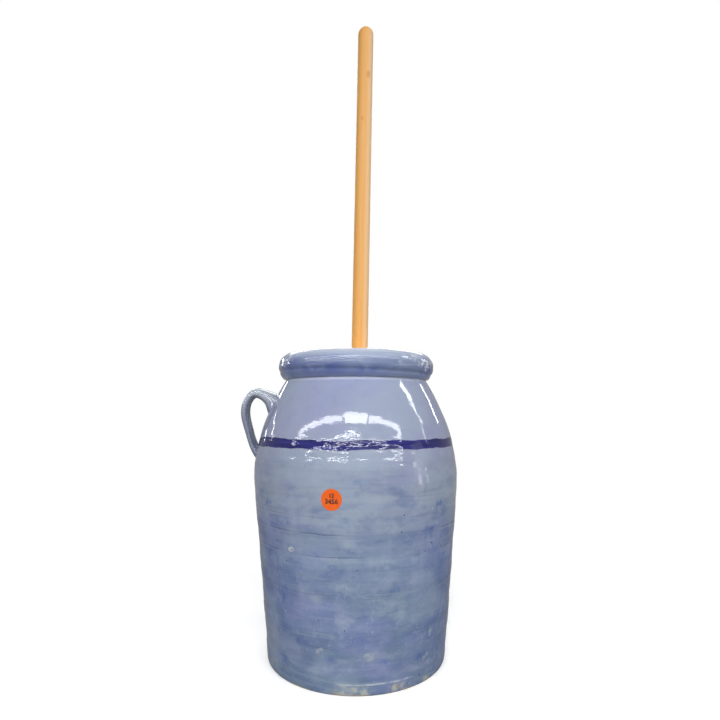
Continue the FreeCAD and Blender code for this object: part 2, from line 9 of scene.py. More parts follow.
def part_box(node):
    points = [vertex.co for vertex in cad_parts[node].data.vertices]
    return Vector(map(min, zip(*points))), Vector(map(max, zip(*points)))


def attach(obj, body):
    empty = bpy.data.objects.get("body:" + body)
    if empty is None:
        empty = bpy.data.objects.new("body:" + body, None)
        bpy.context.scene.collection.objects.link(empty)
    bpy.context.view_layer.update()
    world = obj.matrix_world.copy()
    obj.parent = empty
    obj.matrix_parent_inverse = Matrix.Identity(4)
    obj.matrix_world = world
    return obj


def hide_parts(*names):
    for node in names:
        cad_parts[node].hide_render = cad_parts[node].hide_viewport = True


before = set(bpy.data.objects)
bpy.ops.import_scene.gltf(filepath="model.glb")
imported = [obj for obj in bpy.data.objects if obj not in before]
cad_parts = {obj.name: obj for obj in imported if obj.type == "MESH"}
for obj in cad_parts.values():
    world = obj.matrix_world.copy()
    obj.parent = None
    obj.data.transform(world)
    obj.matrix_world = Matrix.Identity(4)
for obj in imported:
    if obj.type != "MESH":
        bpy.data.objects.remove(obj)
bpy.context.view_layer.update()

MM = 0.001

# ---------------------------------------------------------------- jar sizes, some read from the frame's nodes
JAR_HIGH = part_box("crock_body")[1]
JAR_HEIGHT = JAR_HIGH.z
BELLY_RADIUS = JAR_HIGH.x
BELLY_HEIGHT = 241 * MM
FOOT_RADIUS = 121.2 * MM
NECK_RADIUS = 100.5 * MM
NECK_HEIGHT = JAR_HEIGHT - 37 * MM
COLLAR_RADIUS = 111.5 * MM
LIP_RADIUS = 104.8 * MM
COLLAR_WIDEST = NECK_HEIGHT + 19 * MM
RIM_RADIUS = 98.6 * MM
GALLERY_RADIUS = 95.5 * MM
THROAT_RADIUS = 86 * MM
LEDGE_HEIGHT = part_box("lid_board")[0].z - 0.2 * MM
THROAT_FOOT = LEDGE_HEIGHT - 13 * MM
WALL = 9.5 * MM
FLOOR = 12 * MM
ROUND_STEPS = 256


# ---------------------------------------------------------------- small tools
def deselect():
    """Leave edit mode and let go of everything."""
    if bpy.context.object and bpy.context.object.mode != "OBJECT":
        bpy.ops.object.mode_set(mode="OBJECT")
    bpy.ops.object.select_all(action="DESELECT")


def start_piece(name, primitive, **sizes):
    """Add a primitive on its own and name it."""
    deselect()
    primitive(**sizes)
    piece = bpy.context.object
    piece.name = name
    piece.data.name = name
    return piece


def edit(piece):
    """Open one piece in edit mode with all of it selected."""
    deselect()
    bpy.context.view_layer.objects.active = piece
    piece.select_set(True)
    bpy.ops.object.mode_set(mode="EDIT")
    bpy.ops.mesh.select_all(action="SELECT")


def close_up(piece):
    """Merge doubled points, turn the faces outwards and shade smooth."""
    edit(piece)
    bpy.ops.mesh.remove_doubles(threshold=0.01 * MM)
    bpy.ops.mesh.normals_make_consistent(inside=False)
    deselect()
    piece.select_set(True)
    bpy.context.view_layer.objects.active = piece
    bpy.ops.object.shade_smooth_by_angle(angle=math.radians(50))


def bake_modifier(piece, kind, **settings):
    """Put a modifier on a piece and apply it."""
    deselect()
    piece.select_set(True)
    bpy.context.view_layer.objects.active = piece
    modifier = piece.modifiers.new(kind.lower(), kind)
    for key, value in settings.items():
        setattr(modifier, key, value)
    bpy.ops.object.modifier_apply(modifier=modifier.name)


def points_of(piece):
    """The piece's points as rows of (x, y, z)."""
    points = np.empty(len(piece.data.vertices) * 3)
    piece.data.vertices.foreach_get("co", points)
    return points.reshape(-1, 3)


def move_points(piece, points):
    """Put the piece's points where the rows say."""
    piece.data.vertices.foreach_set("co", points.ravel())
    piece.data.update()


# ---------------------------------------------------------------- jar
def arc_steps(centre, radius, first, last, step):
    """Stations (radius, height) along an arc, both ends included."""
    count = max(2, math.ceil(abs(math.radians(last - first)) * radius / step))
    angles = [math.radians(first + (last - first) * i / count) for i in range(count + 1)]
    return [(centre[0] + radius * math.cos(a), centre[1] + radius * math.sin(a)) for a in angles]


def line_steps(start, end, step):
    """Stations along a straight line, both ends included."""
    count = max(1, math.ceil(math.dist(start, end) / step))
    return [tuple(a + (b - a) * i / count for a, b in zip(start, end)) for i in range(count + 1)]


def arc_between(end, widest, step):
    """Stations of a collar arc from its end to its widest point, where it stands upright."""
    across, along = widest[0] - end[0], end[1] - widest[1]
    radius = (across ** 2 + along ** 2) / (2 * across)
    angle = math.degrees(math.asin(along / radius))
    return arc_steps((widest[0] - radius, widest[1]), radius, angle, 0, step)


def side_stations(inset, top, step):
    """The jar's side from the ground up: a leaning wall, the belly's arc, and a shoulder that bends in."""
    belly, foot = BELLY_RADIUS - inset, FOOT_RADIUS - inset
    drop = 33.7 * MM  # how far below the belly the arc runs out into the straight wall

    # The lean, in degrees, that takes the wall from the belly to the foot, found by halving.
    low, high = 0.0, 89.0
    for _ in range(50):
        lean = (low + high) / 2
        angle = math.radians(lean)
        reach = drop * math.tan(angle / 2) + (BELLY_HEIGHT - drop) * math.tan(angle)
        low, high = (low, lean) if reach > belly - foot else (lean, high)
    low_round = drop / math.sin(math.radians(lean))
    arc = arc_steps((belly - low_round, BELLY_HEIGHT), low_round, -lean, 0, step)
    wall = line_steps((foot, 0), arc[0], step)
    rise, draw_in = top[1] - BELLY_HEIGHT, belly - top[0]
    count = math.ceil(rise / step)
    shares = [i / count for i in range(1, count + 1)]
    shoulder = [(belly - draw_in * (1.1 * t ** 2 - 0.1 * t ** 3), BELLY_HEIGHT + rise * t) for t in shares]
    return wall[:-1] + arc + shoulder


def outer_radius(height):
    """Radius of the jar's outer side at a height below the neck."""
    stations = side_stations(0, (NECK_RADIUS, NECK_HEIGHT), 2 * MM)
    return np.interp(height, [z for _, z in stations], [r for r, _ in stations])


def jar_outline():
    """Stations (radius, height) from the middle of the foot, up the outside and down the inside."""
    fine, coarse = 2.2 * MM, 7 * MM
    foot_round = 2.5 * MM
    side = [s for s in side_stations(0, (NECK_RADIUS, NECK_HEIGHT), fine) if s[1] > foot_round]
    foot = line_steps((0, 0), (FOOT_RADIUS - foot_round, 0), 12 * MM)
    foot += arc_steps((FOOT_RADIUS - foot_round, foot_round), foot_round, -75, -15, 0.8 * MM)
    neck = [(NECK_RADIUS + 0.1 * MM, NECK_HEIGHT + 0.9 * MM), (LIP_RADIUS - 1.4 * MM, NECK_HEIGHT + 1.2 * MM)]
    lower = arc_between((LIP_RADIUS, NECK_HEIGHT + 2.2 * MM), (COLLAR_RADIUS, COLLAR_WIDEST), 1.2 * MM)
    rim_start = (RIM_RADIUS + 2 * MM, JAR_HEIGHT - 0.5 * MM)
    upper = arc_between(rim_start, (COLLAR_RADIUS, COLLAR_WIDEST), 1.2 * MM)[::-1]
    rim = [(RIM_RADIUS, JAR_HEIGHT), (GALLERY_RADIUS + 1.6 * MM, JAR_HEIGHT - 0.1 * MM),
           (GALLERY_RADIUS + 0.5 * MM, JAR_HEIGHT - 0.7 * MM), (GALLERY_RADIUS, JAR_HEIGHT - 2 * MM)]
    gallery = line_steps((GALLERY_RADIUS, JAR_HEIGHT - 4 * MM), (GALLERY_RADIUS, LEDGE_HEIGHT + 1 * MM),
                         4 * MM)
    ledge = [(GALLERY_RADIUS - 0.4 * MM, LEDGE_HEIGHT), (THROAT_RADIUS + 1.2 * MM, LEDGE_HEIGHT),
             (THROAT_RADIUS, LEDGE_HEIGHT - 1.2 * MM), (THROAT_RADIUS, THROAT_FOOT + 4 * MM)]
    corner = 16 * MM
    inside = [s for s in side_stations(WALL, (THROAT_RADIUS, THROAT_FOOT), coarse) if s[1] > FLOOR + corner]
    corner_centre = inside[0][0] - corner - 0.3 * MM, FLOOR + corner
    inside = inside[::-1] + arc_steps(corner_centre, corner, 0, -90, 4 * MM)
    floor = line_steps((corner_centre[0], FLOOR), (0, FLOOR), 14 * MM)[1:]
    return foot + side + neck + lower + upper[1:] + rim + gallery + ledge + inside + floor


def throw_marks(points):
    """What the potter's hands leave: shallow rings that climb in a spiral, a pot a little out of round and
    out of plumb, a groove round the collar, a lower wall drawn in on the left. Sizes here are in mm."""
    x, y, z = points.T
    radius, turn = np.hypot(x, y), np.arctan2(y, x)
    mm, neck, rim = z / MM, NECK_HEIGHT / MM, JAR_HEIGHT / MM
    in_wall = [FOOT_RADIUS - 6 * MM, BELLY_RADIUS - 5 * MM, NECK_RADIUS - 5 * MM, RIM_RADIUS]
    outside = radius > np.interp(z, [0, BELLY_HEIGHT, NECK_HEIGHT, JAR_HEIGHT], in_wall)

    # A fine and a coarse set of rings, wiped nearly smooth on the shoulder, over slow swells.
    fine_pitch, coarse_pitch, swell_pitch = 9.3, 24, 61
    spiral = turn / (2 * math.pi)
    rings = 0.05 * np.sin(2 * math.pi * (mm / fine_pitch - spiral) + 0.7 * np.sin(mm / 31 + 2 * turn))
    rings += 0.13 * np.sin(2 * math.pi * (mm / coarse_pitch - spiral) + 0.9 * np.sin(3 * turn + mm / 47))
    wiped_from = 312
    rings *= np.clip((wiped_from - mm) / 24, 0.12, 1)
    rings += 0.30 * np.sin(2 * math.pi * mm / swell_pitch + 1.3 + 0.8 * np.sin(turn + 0.6))
    rings *= np.clip((mm - 3) / 12, 0, 1) * np.clip((neck - 4 - mm) / 30, 0, 1)

    out_of_round = 0.9 * np.cos(2 * (turn - 0.4)) + 0.5 * np.cos(3 * turn + mm / 90)
    out_of_round += 0.25 * np.cos(5 * turn - mm / 60)
    out_of_round *= 0.8 * np.clip(mm / 60, 0, 1)
    out_of_plumb = np.interp(mm, [0, 374], [0.0, -1.0])

    groove_height = 382.6 - 2.4 * x / COLLAR_RADIUS
    above_groove = mm - groove_height
    collar = -1.0 * np.exp(-(above_groove / 2.4) ** 2) + 0.08 * np.exp(-((above_groove + 4.6) / 1.3) ** 2)
    collar += 0.25 * np.sin(above_groove / 2.1) * np.clip((mm - 388) / 4, 0, 1)
    on_collar = outside & (mm > neck + 1.5) & (mm < rim - 2)

    drawn_in = np.interp(mm, [0, 30, 110, 200, 240], [1.2, 2.0, 2.0, 1.2, 0])
    drawn_in *= np.clip(-x / BELLY_RADIUS, 0, 1) ** 2

    push = out_of_round + np.where(outside, rings - drawn_in, 0) + np.where(on_collar, collar, 0)
    near_axis = np.minimum(radius / (60 * MM), 1)
    scale = np.where(radius > 1 * MM, 1 + push * MM * near_axis / np.maximum(radius, 1e-9), 1)
    return np.stack([x * scale + out_of_plumb * MM, y * scale, z], axis=1)


def make_jar():
    """One outline, drawn out point by point from the middle of the foot and spun round the axis."""
    jar = start_piece("jar", bpy.ops.mesh.primitive_plane_add, size=1 * MM, location=(0, 0, 0))
    edit(jar)
    bpy.ops.mesh.merge(type="CENTER")
    outline = jar_outline()
    for (r0, z0), (r1, z1) in zip(outline, outline[1:]):
        bpy.ops.mesh.extrude_vertices_move(TRANSFORM_OT_translate={"value": (r1 - r0, 0, z1 - z0)})
    bpy.ops.mesh.select_all(action="SELECT")
    bpy.ops.mesh.spin(steps=ROUND_STEPS, angle=2 * math.pi, center=(0, 0, 0), axis=(0, 0, 1))
    close_up(jar)
    move_points(jar, throw_marks(points_of(jar)))
    return jar


# ---------------------------------------------------------------- strap handle
# How deep in the wall its ends stop.
STRAP_SUNK = 5 * MM

# Centre line (X, Z) from inside the shoulder round to inside the belly, with the strap's half width
# and how far it reaches outwards and inwards from the line, all in millimetres.
STRAP = [
    (-104.0, 322.0, 30.0, 24.0, 17.0),
    (-111.0, 329.0, 26.0, 20.0, 17.0),
    (-119.0, 336.5, 22.0, 16.0, 12.0),
    (-127.0, 344.0, 19.0, 13.0, 6.8),
    (-135.5, 351.0, 16.5, 9.0, 6.0),
    (-144.5, 355.0, 16.0, 6.4, 6.4),
    (-152.5, 351.0, 15.5, 5.4, 5.0),
    (-158.4, 342.5, 15.5, 5.0, 4.8),
    (-160.8, 332.0, 15.5, 5.0, 4.8),
    (-160.3, 321.0, 15.5, 5.0, 4.8),
    (-157.6, 310.0, 15.5, 4.9, 4.6),
    (-154.6, 300.0, 15.5, 4.6, 4.4),
    (-151.4, 289.5, 16.0, 4.4, 4.2),
    (-147.8, 279.5, 17.0, 4.2, 5.0),
    (-143.4, 270.5, 18.0, 4.0, 7.0),
    (-138.0, 262.5, 18.5, 3.6, 8.0),
    (-132.0, 256.0, 18.5, 3.0, 8.0),
]


def smooth_rows(rows, count):
    """Rows interpolated along a Catmull-Rom curve through all of them."""
    rows = np.array(rows)
    padded = np.vstack([2 * rows[0] - rows[1], rows, 2 * rows[-1] - rows[-2]])
    out = []
    for place in np.linspace(0, len(rows) - 1, count):
        i = min(int(place), len(rows) - 2)
        t = place - i
        p0, p1, p2, p3 = padded[i:i + 4]
        out.append(0.5 * (2 * p1 + (p2 - p0) * t + (2 * p0 - 5 * p1 + 4 * p2 - p3) * t ** 2
                          + (3 * p1 - p0 - 3 * p2 + p3) * t ** 3))
    return np.array(out)


def make_strap():
    """A ridged, flat coil of clay, drawn along its centre line by extruding, turning and thinning it."""
    pulls = 88
    rows = smooth_rows(STRAP, pulls + 1)
    heading = np.gradient(rows[:, :2], axis=0)
    heading /= np.linalg.norm(heading, axis=1)[:, None]
    outwards = np.stack([heading[:, 1], -heading[:, 0]], axis=1)
    middles = rows[:, :2] + outwards * ((rows[:, 3] - rows[:, 4]) / 2)[:, None]
    half_widths, half_depths = rows[:, 2], (rows[:, 3] + rows[:, 4]) / 2

    strap = start_piece("strap", bpy.ops.mesh.primitive_circle_add, vertices=56, radius=1, fill_type="NGON",
                        location=(0, 0, 0))
    # An oval with flattened faces and three ridges, where the fingers ran.
    across, through, _ = points_of(strap).T
    wide = np.sign(across) * np.abs(across) ** 0.8
    flat = np.sign(through) * np.abs(through) ** 0.62
    flat *= 1 + 0.14 * np.cos(3 * math.pi * wide) * (1 - wide ** 2)
    x = middles[0, 0] + outwards[0, 0] * flat * half_depths[0]
    z = middles[0, 1] + outwards[0, 1] * flat * half_depths[0]
    move_points(strap, np.stack([x, wide * half_widths[0], z], axis=1) * MM)

    edit(strap)
    angles = np.unwrap(np.arctan2(heading[:, 1], heading[:, 0]))
    for i in range(1, pulls + 1):
        pull = (middles[i] - middles[i - 1]) * MM
        centre = (middles[i, 0] * MM, 0, middles[i, 1] * MM)
        thinner, narrower = half_depths[i] / half_depths[i - 1], half_widths[i] / half_widths[i - 1]
        bpy.ops.mesh.extrude_region_move(TRANSFORM_OT_translate={"value": (pull[0], 0, pull[1])})
        bpy.ops.transform.rotate(value=angles[i] - angles[i - 1], orient_axis="Y", center_override=centre)
        bpy.ops.transform.resize(value=(thinner, narrower, thinner), center_override=centre)
    close_up(strap)

    # Both ends are pushed out of the jar's inside, to where they stop in the wall.
    points = points_of(strap)
    radius = np.hypot(points[:, 0], points[:, 1])
    least = outer_radius(points[:, 2]) - STRAP_SUNK
    points[:, :2] *= np.where(radius < least, least / radius, 1)[:, None]
    move_points(strap, points)
    return strap


# ---------------------------------------------------------------- price label
LABEL_RADIUS = 12.7 * MM
LABEL_PLACE = (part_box("price_label")[0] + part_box("price_label")[1]) / 2
LABEL_OUT = Vector((LABEL_PLACE.x, LABEL_PLACE.y, 0)).normalized()
LABEL_STANDOFF = 1.5 * MM


def lay_on_jar(piece, gap):
    """Pull a flat piece onto the glaze, a small gap above it."""
    bake_modifier(piece, "SHRINKWRAP", target=jar, wrap_method="NEAREST_SURFACEPOINT",
                  wrap_mode="OUTSIDE_SURFACE", offset=gap)


def face_out(piece):
    """Turn a piece drawn on the ground so it faces out from the label's place on the jar."""
    across = Vector((0, 0, 1)).cross(LABEL_OUT)
    turn = Matrix((across, (0, 0, 1), LABEL_OUT)).transposed().to_4x4()
    piece.data.transform(Matrix.Translation(LABEL_PLACE + LABEL_OUT * LABEL_STANDOFF) @ turn)


def make_label():
    """A die-cut paper disc, pressed onto the curve of the wall."""
    label = start_piece("price_sticker", bpy.ops.mesh.primitive_circle_add, vertices=72, radius=LABEL_RADIUS,
                        fill_type="NGON", location=(0, 0, 0))
    edit(label)
    rings, ring_width = 8, 1.45 * MM
    for _ in range(rings):
        bpy.ops.mesh.inset(thickness=ring_width)
    deselect()
    face_out(label)
    lay_on_jar(label, 0.1 * MM)
    bake_modifier(label, "SOLIDIFY", thickness=0.14 * MM, offset=1)
    return label


def make_print(name, words, size, rise):
    """Stamped digits that mean nothing: flat outlines laid on the paper, then given the thickness of ink."""
    deselect()
    bpy.ops.object.text_add(location=(0, 0, 0))
    ink = bpy.context.object
    ink.name = name
    ink.data.body = words
    ink.data.size = size
    ink.data.align_x = "CENTER"
    ink.data.offset = 0.26 * MM
    ink.data.resolution_u = 3
    bpy.ops.object.convert(target="MESH")
    ink = bpy.context.object
    ink.data.name = name
    ink.data.transform(Matrix.Translation((0, rise, 0)))
    face_out(ink)
    edit(ink)
    bpy.ops.mesh.remove_doubles(threshold=0.01 * MM)
    deselect()
    lay_on_jar(ink, 0.3 * MM)
    bake_modifier(ink, "SOLIDIFY", thickness=0.04 * MM, offset=1)
    return ink


# ---------------------------------------------------------------- materials
def srgb(text):
    """Linear colour from an sRGB hex."""
    parts = [int(text[i:i + 2], 16) / 255 for i in (0, 2, 4)]
    return [p / 12.92 if p <= 0.04045 else ((p + 0.055) / 1.055) ** 2.4 for p in parts] + [1]


def new_material(name):
    """An empty node material."""
    made = bpy.data.materials.new(name)
    made.use_nodes = True
    made.node_tree.nodes.clear()
    return made


def add(tree, kind, sockets=None, stops=(), **settings):
    """Add a node, set its options, fill or link its sockets, and hand back its outputs. The stops of a colour
    ramp are (place, sRGB hex)."""
    made = tree.nodes.new("ShaderNode" + kind)
    for name, value in settings.items():
        setattr(made, name, value)
    for name, value in (sockets or {}).items():
        if isinstance(value, bpy.types.NodeSocket):
            tree.links.new(value, made.inputs[name])
        else:
            made.inputs[name].default_value = value
    if stops:
        shades = made.color_ramp.elements
        while len(shades) < len(stops):
            shades.new(0.5)
        for shade, (place, colour) in zip(shades, stops):
            shade.position = place
            shade.color = srgb(colour)
    return made.outputs


def cover(tree, amount, *limits):
    """How much lies at each point. Each limit is (pattern, start, full): nothing lies where the pattern
    hasn't reached its start, all of the amount where it is past full, and it comes on smoothly between."""
    for pattern, start, full in limits:
        amount = add(tree, "MapRange", {"Value": pattern, "From Min": start, "From Max": full,
                                        "To Max": amount}, interpolation_type="SMOOTHSTEP")[0]
    return amount


def lay_on(tree, base, *layers):
    """Lay colours over the base, first to last. Each is (sRGB hex, amount, limits...), limits as in cover."""
    for colour, amount, *limits in layers:
        base = add(tree, "MixRGB", {"Fac": cover(tree, amount, *limits), "Color1": base,
                                    "Color2": srgb(colour)})[0]
    return base


def wandering(tree, height, *wanders):
    """A height or a distance that swings by each (pattern, reach), so that an edge drawn along it wanders."""
    for pattern, reach in wanders:
        swing = add(tree, "MapRange", {"Value": pattern, "To Min": -reach / 2, "To Max": reach / 2},
                    clamp=False)[0]
        height = add(tree, "Math", {0: height, 1: swing}, operation="ADD")[0]
    return height


def nearest(tree, coords, spots, wobble=0.0, tall=1.0):
    """How far off the nearest (x, y, z, radius) spot is, in shares of its radius: 0 in its middle, 1 at its
    edge. Edges wander by the wobble's share of the radius, and tall stretches each spot upwards."""
    far = 100
    uneven = add(tree, "TexNoise", {"Vector": coords, "Scale": 1 / (6.667 * MM), "Detail": 4})[0]
    squashed = add(tree, "VectorMath", {0: coords, 1: (1, 1, 1 / tall)}, operation="MULTIPLY")[0]
    share = far
    for x, y, z, size in spots:
        away = add(tree, "VectorMath", {0: squashed, 1: (x, y, z / tall)}, operation="DISTANCE")["Value"]
        away = add(tree, "Math", {0: away, 1: size}, operation="DIVIDE")[0]
        share = add(tree, "Math", {0: away, 1: share}, operation="MINIMUM")[0]
    return wandering(tree, share, (uneven, 4 * wobble))


def on_wall(azimuth, height, size, radius=None):
    """A spot on the wall from its azimuth in degrees and its height and radius in mm."""
    radius, angle = radius or float(outer_radius(height * MM)), math.radians(azimuth)
    return (radius * math.cos(angle), radius * math.sin(angle), height * MM, size * MM)


# Glaze colours up the jar, as (share of its height, sRGB hex): foot, wall, belly, shoulder, rolled collar.
# The pale stop at 0.907 is a painted highlight on glaze pooled at the neck joint. The dark stops from 0.930
# to
# 0.952 are the collar's upright face, partly glaze pooled thick and partly painted shade.
ZONES = [(0.00, "697b95"), (0.20, "697b98"), (0.40, "7c8ca7"), (0.54, "8d97ab"), (0.64, "8b92ab"),
         (0.70, "9096b1"), (0.84, "9097b4"), (0.900, "9198b7"), (0.907, "c0c6d8"), (0.915, "8493c6"),
         (0.930, "51609b"), (0.952, "515f99"), (0.970, "7480ab"), (0.985, "a5afca"), (1.00, "dce0e8")]
STRAP_ZONES = [(0.60, "6f7787"), (0.80, "7a8292"), (0.85, "a3a8b5"), (0.88, "bdc1ca")]

# Uneven patterns in the glaze: size in mm round the wall and up it, detail, roughness, and a start of its own
# in the noise.
GLAZE_PATTERNS = {
    "zone_edge": (111.1, 111.1, 2, 0.55, 0),
    "patches": (45.45, 16.13, 5, 0.60, 1.1),
    "brush_rings": (200, 11.76, 5, 0.65, 0),
    "drag_lines": (200, 4.762, 4, 0.60, 3.1),
    "hue": (83.33, 38.46, 3, 0.55, 7.7),
    "line_breaks": (62.5, 62.5, 3, 0.55, 78.4),
    "line_wave": (166.7, 166.7, 2, 0.55, 23.4),
    "line_shake": (14.29, 14.29, 2, 0.55, 0),
    "cloud": (22.22, 22.22, 7, 0.68, 76.5),
    "soft_cloud": (111.1, 111.1, 3, 0.55, 108.9),
    "runs": (33.33, 166.7, 4, 0.55, 5.3),
    "crawl": (9.091, 9.091, 4, 0.55, 143),
    "rim_ridges_and_sheen": (62.5, 5.263, 4, 0.55, 6.4),
    "rim_flecks": (6.667, 6.667, 5, 0.55, 360),
    "broad_rings": (200, 20.83, 3, 0.55, 0),
    "swell": (41.67, 29.76, 2, 0.55, 225.6),
    "ripple": (12.5, 12.5, 2, 0.55, 264),
    "grain": (4.762, 4.762, 2, 0.55, 0),
    "fine_rings": (25, 4.348, 3, 0.55, 7.2),
    "band_wander": (71.43, 71.43, 2, 0.55, 30.8),
    "band_shake": (11.11, 11.11, 3, 0.55, 396),
    "band_streaks": (83.33, 6.25, 3, 0.55, 6.1),
    "dragged": (33.33, 13.89, 3, 0.55, 87),
    "foot_wander": (83.33, 83.33, 2, 0.55, 79.2),
    "foot_breaks": (33.33, 33.33, 3, 0.55, 81),
    "clay_wander": (45.45, 45.45, 4, 0.55, 193.6),
    "clay_shake": (8.333, 8.333, 2, 0.55, 0),
    "worn": (16.67, 16.67, 4, 0.55, 42),
    "clay": (11.76, 11.76, 4, 0.55, 0),
}

# Marks on the wall, as azimuth in degrees, height and radius in mm.
PITS = [on_wall(*spot) for spot in (
    (270.7, 144.7, 1.7), (263.3, 145.5, 1.0), (250.2, 84.7, 1.1), (283.4, 65.2, 1.2), (312.8, 168.7, 1.3),
    (297.1, 223.8, 1.2), (294.0, 50.0, 1.3), (305.0, 176.0, 0.9), (306.5, 150.0, 0.9), (299.0, 131.0, 1.0))]
CRAWLED = [on_wall(*spot) for spot in (
    (277.8, 47.4, 7.0), (315.0, 29.2, 8.0), (258.2, 28.3, 4.5), (250.6, 49.5, 6.0), (317.3, 59.9, 6.0))]
SCAR = [on_wall(235.2, 163.5, 5.6)]
SCAR_CORE = [on_wall(235.6, 163.0, 2.6)]
PALE_RUNS = [on_wall(*spot) for spot in ((237.0, 200.0, 8.0), (262.0, 95.0, 9.0), (303.0, 245.0, 10.0))]

# Painted reflections of bright light, as pale patches over the top of the collar.
PAINTED_RIM_REFLECTIONS = [on_wall(*spot, radius=COLLAR_RADIUS) for spot in (
    (322.0, 396.0, 10.0), (331.0, 391.0, 9.0), (314.0, 402.0, 8.0), (341.0, 396.0, 10.0), (217.0, 401.0, 8.0),
    (210.0, 396.0, 6.0), (226.0, 404.0, 6.0), (268.0, 404.5, 3.0), (95.0, 400.0, 9.0))]

# Where the brush left the glaze thick and blue, and where it left it thin and grey. The two broad darker
# patches on the left and right sides are partly thick glaze and partly painted shade.
THICK_GLAZE = [on_wall(*spot) for spot in (
    (224, 189, 17), (234, 196, 12), (219, 156, 22), (227, 109, 24), (211, 70, 22), (240, 129, 10),
    (313, 186, 20), (317, 160, 22), (291, 120, 14), (310, 115, 22), (326, 79, 22), (272, 66, 14),
    (301, 63, 15), (238, 57, 16), (256, 41, 12), (286, 38, 11), (206, 23, 20), (265, 203, 9), (271, 247, 8),
    (309, 36, 14), (205, 120, 22), (206, 185, 18), (224, 30, 18), (218, 215, 12), (318, 215, 14),
    (333, 140, 22), (335, 30, 20), (318, 55, 16), (20, 150, 22), (60, 90, 20), (105, 170, 24), (140, 80, 20),
    (172, 130, 18), (350, 100, 18))]
SIDES_THICK_GLAZE_AND_SHADE = [on_wall(212, 110, 92), on_wall(330, 105, 96)]
THIN_GLAZE = [on_wall(*spot) for spot in (
    (265, 123, 22), (250, 109, 15), (282, 151, 22), (267, 175, 18), (257, 157, 15), (294, 90, 13),
    (253, 237, 17), (279, 226, 15), (265, 88, 16), (289, 190, 13), (241, 165, 10), (302, 152, 9),
    (40, 200, 20), (85, 120, 22), (155, 190, 20), (0, 60, 16))]

# Where the foot's edge is rubbed, stained buff, or breaks pale in a line.
RUBBED = [on_wall(*spot) for spot in (
    (262.0, 2.0, 13.0), (268.0, 4.0, 13.0), (275.0, 4.0, 10.0), (292.0, 4.0, 9.0), (297.0, 6.0, 7.0),
    (315.0, 1.0, 11.0), (120.0, 3.0, 16.0), (35.0, 2.0, 14.0))]
FOOT_STAINS = [on_wall(*spot) for spot in (
    (259.5, 1.0, 4.5), (294.0, 7.5, 4.0), (318.0, 2.0, 4.0), (50.0, 3.0, 5.0))]
FOOT_EDGE = [on_wall(284.0, 14.0, 62.0), on_wall(100.0, 14.0, 45.0)]

# Throwing lines where the glaze pools dark, as height in mm and depth of colour.
THROWING_LINES = ((203.5, 0.35), (184.4, 0.6), (158.7, 0.5), (114.4, 0.35), (86.0, 0.3), (67.6, 0.35))

# How far in from its edge a hard spot is full, as a share of its radius. Soft spots are given their own.
HARD = 0.45


def poured_inside(tree, coords, height):
    """The limits of the jar's inside, drawn along the middle of its wall. Each point's distance from the axis
    is first brought up to what it would be on a wall that stood upright at the belly."""
    flat = add(tree, "VectorMath", {0: coords, 1: (1, 1, 0)}, operation="MULTIPLY")[0]
    out = add(tree, "VectorMath", {0: flat}, operation="LENGTH")["Value"]
    to_foot = {"Value": height, "From Min": BELLY_HEIGHT, "From Max": 0}
    to_neck = {"Value": height, "From Min": BELLY_HEIGHT, "From Max": NECK_HEIGHT}
    straight = add(tree, "MapRange", {**to_foot, "To Max": BELLY_RADIUS - FOOT_RADIUS})[0]
    bent = add(tree, "MapRange", {**to_neck, "To Max": BELLY_RADIUS - NECK_RADIUS})[0]
    bent = add(tree, "MapRange", {**to_neck, "To Max": bent})[0]
    for drawn_in in (straight, bent):
        out = add(tree, "Math", {0: out, 1: drawn_in}, operation="ADD")[0]
    middle = BELLY_RADIUS - WALL / 2
    return (out, middle + 0.5 * MM, middle - 0.5 * MM), (height, 10 * MM, 11 * MM)


